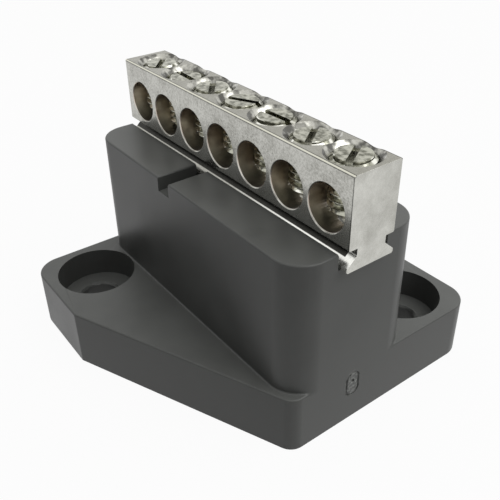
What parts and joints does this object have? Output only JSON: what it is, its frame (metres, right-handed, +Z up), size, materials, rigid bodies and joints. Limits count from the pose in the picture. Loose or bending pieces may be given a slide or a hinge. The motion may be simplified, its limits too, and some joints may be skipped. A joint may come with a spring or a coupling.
{
  "type": "terminal block",
  "caption": "Screw terminal bar with a row of cable bores, its dovetail foot held in the grooved pedestal of an insulating base with two diagonal fixing lugs.",
  "frame": {"origin": "Middle of the two fixing holes, on the underside of the base.", "axes": "+X along the bar towards its end that stands proud of the base, +Y across the bar away from the notched side of the groove, +Z up from the mounting surface."},
  "size_m": [0.072, 0.0706, 0.0556],
  "materials": {
    "base_plastic": "dark grey moulded thermoset or nylon, semi-matte",
    "bar_metal": "bright tin plate over drawn brass bar, fine lengthwise grain",
    "screw_metal": "bright zinc plate, faint yellow tint"
  },
  "bodies": {
    "block": {"base_moulding": "base_plastic", "terminal_bar": "bar_metal"},
    "screw_1": {"clamp_screw_1": "screw_metal"},
    "screw_2": {"clamp_screw_2": "screw_metal"},
    "screw_3": {"clamp_screw_3": "screw_metal"},
    "screw_4": {"clamp_screw_4": "screw_metal"},
    "screw_5": {"clamp_screw_5": "screw_metal"},
    "screw_6": {"clamp_screw_6": "screw_metal"},
    "screw_7": {"clamp_screw_7": "screw_metal"}
  },
  "joints": [
    {"name": "screw_1_travel", "type": "slide", "parent": "block", "child": "screw_1", "axis": [0, 0, 1], "range_m": [0, 0.00625]},
    {"name": "screw_2_travel", "type": "slide", "parent": "block", "child": "screw_2", "axis": [0, 0, 1], "range_m": [0, 0.00625]},
    {"name": "screw_3_travel", "type": "slide", "parent": "block", "child": "screw_3", "axis": [0, 0, 1], "range_m": [0, 0.00625]},
    {"name": "screw_4_travel", "type": "slide", "parent": "block", "child": "screw_4", "axis": [0, 0, 1], "range_m": [0, 0.00625]},
    {"name": "screw_5_travel", "type": "slide", "parent": "block", "child": "screw_5", "axis": [0, 0, 1], "range_m": [0, 0.00625]},
    {"name": "screw_6_travel", "type": "slide", "parent": "block", "child": "screw_6", "axis": [0, 0, 1], "range_m": [0, 0.00625]},
    {"name": "screw_7_travel", "type": "slide", "parent": "block", "child": "screw_7", "axis": [0, 0, 1], "range_m": [0, 0.00625]}
  ]
}
